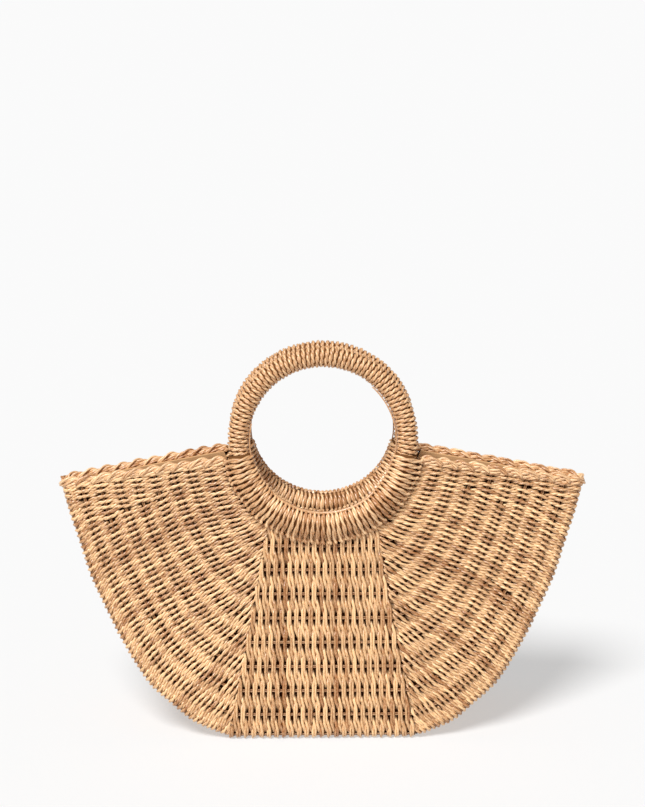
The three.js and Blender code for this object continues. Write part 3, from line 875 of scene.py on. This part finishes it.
# A closed skin of two layers inside the bag's walls and base, and its loop at the hem's lower edge
def bag_skin(name, inset, thickness, drop, notch, hem, rows, material, node):
    panel = np.linspace(-1, 1, PANEL_COLUMNS)
    side_turn = np.linspace(0, math.pi, SIDE_COLUMNS)[1:-1]

    def top_edge(x):
        dip = RING_HEIGHT - np.sqrt(np.maximum(notch**2 - x**2, 0)) * math.cos(RING_LEAN)
        return np.where(np.abs(x) < notch, np.minimum(rim_height(x) - drop, dip), rim_height(x) - drop)

    def column_x(z, drawn_in):
        return panel * (half_width(z) - crease_radius(crease_depth(z)) - CORNER_TRIM * drawn_in)

    def loop_at(z, drawn_in):
        x = column_x(z, drawn_in)
        depth = panel_depth(x, z) - drawn_in
        front = np.stack([x, -depth, z], -1)
        bulge = (half_width(z) - drawn_in - x)[:, -1:]
        side_depth = -depth[:, -1:] * np.cos(side_turn)
        side_z = np.broadcast_to(z[:, -1:], side_depth.shape)
        side_x = x[:, -1:] + bulge * np.sin(side_turn) ** CORNER_ROUNDNESS
        side = np.stack([side_x, side_depth, side_z], -1)
        return np.concatenate([front, side, to_back(front), to_back(side)], 1)

    # A column's place depends on the height of its top, so the two settle together
    top = np.full(PANEL_COLUMNS, float(CORNER_HEIGHT))
    for _ in range(SETTLING):
        top = 0.5 * top + 0.5 * top_edge(column_x(top, inset))
    level = 1 - (1 - np.linspace(0, 1, rows)[:, None]) ** ROW_CROWDING
    outer_z = inset + (top - inset) * level
    inner_z = inset + thickness + (top - inset - thickness) * level
    folded = HEM_FOLD * np.clip(hem - (top - inner_z), 0, 1)
    outer = loop_at(outer_z, np.full(outer_z.shape, inset))
    inner = loop_at(inner_z, inset + thickness + folded)
    count = outer.shape[1]
    loops = np.concatenate([outer, inner[::-1]])
    first = np.arange(len(loops) - 1)[:, None] * count
    here = first + np.arange(count)
    beside = first + (np.arange(count) + 1) % count
    faces = np.stack([here, beside, beside + count, here + count], -1).reshape(-1, 4).tolist()
    last = (len(loops) - 1) * count
    faces += [list(range(count))[::-1], list(range(last, last + count))]
    mesh = bpy.data.meshes.new(name)
    mesh.from_pydata((loops.reshape(-1, 3) * MM).tolist(), [], faces)
    mesh.polygons.foreach_set("use_smooth", np.ones(len(mesh.polygons), bool))
    hem_z = (top - hem)[None]
    hem_line = loop_at(hem_z, np.full(hem_z.shape, inset + thickness + STITCH_OFF_HEM))[0]
    return place_object(name, mesh, material, node), hem_line


# Short running stitches along a closed line
def running_stitches(tubes, line):
    line = np.vstack([line, line[:1]])
    lengths = lengths_along(line)
    for k in range(int(lengths[-1] / HEM_STITCH_PITCH)):
        at = k * HEM_STITCH_PITCH + np.linspace(0, HEM_STITCH_LENGTH, len(HEM_STITCH_RISE))
        spot = points_at(at, lengths, line)
        heading = unit(spot[-1] - spot[0])
        inward = unit(np.cross([0, 0, 1.0], heading))
        stitch = spot + inward * HEM_STITCH_RISE[:, None]
        tubes.add(stitch, np.broadcast_to(inward, stitch.shape), HEM_STITCH_RADIUS, HEM_STITCH_TONE)


# Shader nodes by short calls
class Shader:
    def __init__(self, name):
        self.material = bpy.data.materials.new(name)
        self.material.use_nodes = True
        self.tree = self.material.node_tree
        self.surface = self.tree.nodes["Principled BSDF"]

    def node(self, kind, inputs=(), **settings):
        made = self.tree.nodes.new("ShaderNode" + kind)
        for key, value in settings.items():
            setattr(made, key, value)
        for key, value in dict(inputs).items():
            socket = made.inputs[key]
            if isinstance(value, bpy.types.NodeSocket):
                self.tree.links.new(value, socket)
            else:
                socket.default_value = value
        return made

    # A colour between two others
    def ramp(self, factor, dark, light, low=0.0, high=1.0):
        made = self.node("ValToRGB", {"Fac": factor})
        for element, position, colour in zip(made.color_ramp.elements, (low, high), (dark, light)):
            element.position = position
            element.color = (*colour, 1)
        return made.outputs["Color"]

    def link(self, output, name):
        self.tree.links.new(output, self.surface.inputs[name])

    def set(self, **values):
        for key, value in values.items():
            self.surface.inputs[key.replace("_", " ")].default_value = value


CREASE_IN_COLOUR, TONE_IN_COLOUR = 0.95, 0.4
STRAW_SHINE = 0.9  # it fades with the painted shade


# Twisted paper straw: creases along each strand, a tone of its own, and painted shade, near black, deep in
# the weave
def straw(name, light, dark):
    shader = Shader(name)
    uv = shader.node("UVMap", uv_map="along").outputs["UV"]
    stretch = shader.node("Mapping", {"Vector": uv, "Scale": (0.2, 3.0, 1.0)}).outputs["Vector"]
    crease = shader.node("TexNoise", {"Vector": stretch, "Scale": 2.2, "Detail": 3.0, "Roughness": 0.65})
    tone = shader.node("Attribute", attribute_name="tone").outputs["Fac"]
    shade = shader.node("Attribute", attribute_name="shade").outputs["Fac"]
    creased = shader.node("Math", {0: crease.outputs["Fac"], 1: CREASE_IN_COLOUR}, operation="MULTIPLY")
    parts = {0: tone, 1: TONE_IN_COLOUR, 2: creased.outputs[0]}
    mixed = shader.node("Math", parts, operation="MULTIPLY_ADD")
    toned = shader.ramp(mixed.outputs[0], dark, light, 0.36, 0.86)
    # Painted shade: the colour goes to near black as the shade attribute grows
    deep = shader.node("MixRGB", {"Fac": shade, "Color1": toned, "Color2": (*STRAW_PAINTED_SHADE, 1)})
    shader.link(deep.outputs["Color"], "Base Color")
    shader.set(Roughness=0.34)
    shine = shader.node("Math", {0: shade, 1: -STRAW_SHINE, 2: STRAW_SHINE}, operation="MULTIPLY_ADD")
    shader.link(shine.outputs[0], "Specular IOR Level")
    bump = shader.node("Bump", {"Height": crease.outputs["Fac"], "Strength": 0.6, "Distance": 0.0004})
    shader.link(bump.outputs["Normal"], "Normal")
    return shader.material


# Painted shade: a dark straw colour for what lies behind and under the strands
def shade_material(name, colour):
    shader = Shader(name)
    noise = shader.node("TexNoise", {"Scale": 700.0, "Detail": 2.0})
    shader.link(shader.ramp(noise.outputs["Fac"], [c * 0.6 for c in colour], colour), "Base Color")
    shader.set(Roughness=0.95, Specular_IOR_Level=0.05)
    return shader.material


# Plain woven cotton
def cloth(name, colour):
    shader = Shader(name)
    place = shader.node("TexCoord").outputs["Object"]
    waves = [
        shader.node("TexWave", {"Vector": place, "Scale": 420.0, "Distortion": 0.4},
                    wave_type="BANDS", bands_direction=direction).outputs["Fac"]
        for direction in ("X", "Z")
    ]
    weave = shader.node("Math", {0: waves[0], 1: waves[1]}, operation="ADD").outputs[0]
    cloud = shader.node("TexNoise", {"Vector": place, "Scale": 45.0, "Detail": 4.0}).outputs["Fac"]
    shader.link(shader.ramp(cloud, [c * 0.86 for c in colour], colour, 0.3, 0.7), "Base Color")
    shader.set(Roughness=0.85, Specular_IOR_Level=0.2)
    bump = shader.node("Bump", {"Height": weave, "Strength": 0.25, "Distance": 0.0002})
    shader.link(bump.outputs["Normal"], "Normal")
    return shader.material


STRAW_LIGHT = (0.93, 0.60, 0.31)
STRAW_DARK = (0.35, 0.13, 0.034)
# Near black painted shade, deep in the weave
STRAW_PAINTED_SHADE = (0.02, 0.004, 0.001)
CORD_LIGHT = (0.94, 0.61, 0.33)
CORD_DARK = (0.44, 0.18, 0.055)
straw_weave = straw("straw_weave", STRAW_LIGHT, STRAW_DARK)
straw_cord = straw("straw_cord", CORD_LIGHT, CORD_DARK)
# Painted shade: near black for the backing, and dark straw for the cores under the wraps and stitches
straw_shade = shade_material("straw_shade", (0.03, 0.011, 0.004))
cord_shade = shade_material("cord_shade", (0.2, 0.085, 0.03))
tan_cloth = cloth("lining_cloth", (0.72, 0.43, 0.21))
lining_thread = cloth("lining_thread", (0.3, 0.17, 0.08))

# How round the strands are: sides of a ply's section, and steps along it between two stakes
FRONT_SIDES, FRONT_STEPS = 5, 9
BACK_SIDES, BACK_STEPS = 4, 6
STAKE_SIDES, WRAP_SIDES, STITCH_SIDES, RIM_SIDES, CORE_SIDES, HEM_STITCH_SIDES = 4, 5, 6, 6, 16, 4


def woven_piece(tubes, name):
    tubes.build(name, straw_weave, "straw_weave", "woven_body")


for side_name, fans, sides, steps in (
    ("front", {"right": keep, "left": mirror_x}, FRONT_SIDES, FRONT_STEPS),
    ("back", {"left": to_back, "right": to_back_mirrored}, BACK_SIDES, BACK_STEPS),
):
    for hand, place in fans.items():
        tubes = Tubes(sides)
        rows, ends = fan_rows()
        fan_weavers(tubes, rows, ends, place, steps)
        woven_piece(tubes, f"weave_{side_name}_{hand}")
    tubes = Tubes(sides)
    centre_weavers(tubes, keep if side_name == "front" else to_back, steps)
    woven_piece(tubes, f"weave_{side_name}_centre")

for hand, mirror in (("right", keep), ("left", mirror_x)):
    tubes = Tubes(BACK_SIDES)
    gusset_weavers(tubes, mirror, fan_rows()[0], BACK_STEPS)
    woven_piece(tubes, f"weave_gusset_{hand}")

tubes = Tubes(STAKE_SIDES)
for place in (keep, to_back):
    stake_lines(tubes, place)
for mirror in (keep, mirror_x):
    gusset_stakes(tubes, mirror)
woven_piece(tubes, "stakes")

# Painted shade: a near black sheet behind the weave, seen through the holes between the strands
bag_skin(
    "painted_shade_backing", BACKING_INSET, BACKING_THICKNESS, RIM_BRAID_HEIGHT, BACKING_NOTCH, 0, BACKING_ROWS,
    straw_shade, "woven_body",
)
lining, hem_line = bag_skin(
    "lining_cloth", LINING_INSET, LINING_THICKNESS, LINING_DROP, LINING_NOTCH, LINING_HEM, LINING_ROWS,
    tan_cloth, "lining",
)
tubes = Tubes(HEM_STITCH_SIDES)
running_stitches(tubes, hem_line)
hem_stitches = tubes.build("lining_stitches", lining_thread, "lining_cloth")

for side_name, place in (("front", keep), ("back", to_back)):
    tubes = Tubes(WRAP_SIDES)
    ring_wrapping(tubes, place)
    ring_thread(tubes, place, THREAD_BOTTOM[side_name])
    tubes.build(f"ring_wrapping_{side_name}", straw_cord, "straw_cord", f"ring_handle_{side_name}")
    tubes = Tubes(CORE_SIDES)
    binding_sleeve(tubes, place)
    tubes.build(f"binding_sleeve_{side_name}", cord_shade, "straw_cord", f"binding_{side_name}")
    tubes = Tubes(CORE_SIDES)
    ring_core(tubes, place)
    tubes.build(f"ring_core_{side_name}", cord_shade, "straw_cord", f"ring_handle_{side_name}")
    tubes = Tubes(STITCH_SIDES)
    binding_stitches(tubes, place)
    tubes.build(f"binding_stitches_{side_name}", straw_cord, "straw_cord", f"binding_{side_name}")

for hand, mirror in (("right", keep), ("left", mirror_x)):
    tubes = Tubes(RIM_SIDES)
    rim_arches(tubes, mirror)
    tubes.build(f"rim_border_{hand}", straw_cord, "straw_cord", f"rim_braid_{hand}")

# Floor, light and camera
FLOOR = 60  # metres from the middle to each side
FLOOR_GREY, FLOOR_GLOW = 0.4, 0.47
ROOM_LIGHT = 0.25
KEY_LIGHT, KEY_SPREAD, KEY_DIRECTION = 3.7, math.radians(22), (0.4, 0.8, -1.3)
CAMERA_PLACE, CAMERA_DIRECTION, CAMERA_LENS = (-17.1, -1330.9, 601.2), (0.01239, 0.96937, -0.24531), 76.45


# The light or the camera, turned to look along a direction
def aimed_object(name, data, direction):
    made = bpy.data.objects.new(name, data)
    made.rotation_mode = "QUATERNION"
    made.rotation_quaternion = Vector(direction).to_track_quat("-Z", "Y")
    bpy.context.scene.collection.objects.link(made)
    return made


floor_mesh = bpy.data.meshes.new("floor")
floor_corners = [(x * FLOOR, y * FLOOR, 0) for x, y in ((-1, -1), (1, -1), (1, 1), (-1, 1))]
floor_mesh.from_pydata(floor_corners, [], [(0, 1, 2, 3)])
floor = bpy.data.objects.new("floor", floor_mesh)
bpy.context.scene.collection.objects.link(floor)
floor_shader = Shader("floor_white")
floor_shader.set(Roughness=0.9, Specular_IOR_Level=0.0, Base_Color=(FLOOR_GREY, FLOOR_GREY, FLOOR_GREY, 1))
floor_shader.set(Emission_Color=(1, 1, 1, 1), Emission_Strength=FLOOR_GLOW)
floor_mesh.materials.append(floor_shader.material)

world = bpy.data.worlds.new("studio")
bpy.context.scene.world = world
world.use_nodes = True
background = world.node_tree.nodes["Background"]
background.inputs["Color"].default_value = (1, 1, 1, 1)
background.inputs["Strength"].default_value = ROOM_LIGHT

key = bpy.data.lights.new("key", "SUN")
key.energy = KEY_LIGHT
key.angle = KEY_SPREAD
aimed_object("key", key, KEY_DIRECTION)

camera = bpy.data.cameras.new("camera")
camera.lens = CAMERA_LENS
camera.sensor_width = 36
camera.clip_start = 0.05
camera.clip_end = 200
camera_object = aimed_object("camera", camera, CAMERA_DIRECTION)
camera_object.location = Vector(CAMERA_PLACE) * MM
bpy.context.scene.camera = camera_object
bpy.context.scene.view_settings.view_transform = "Standard"
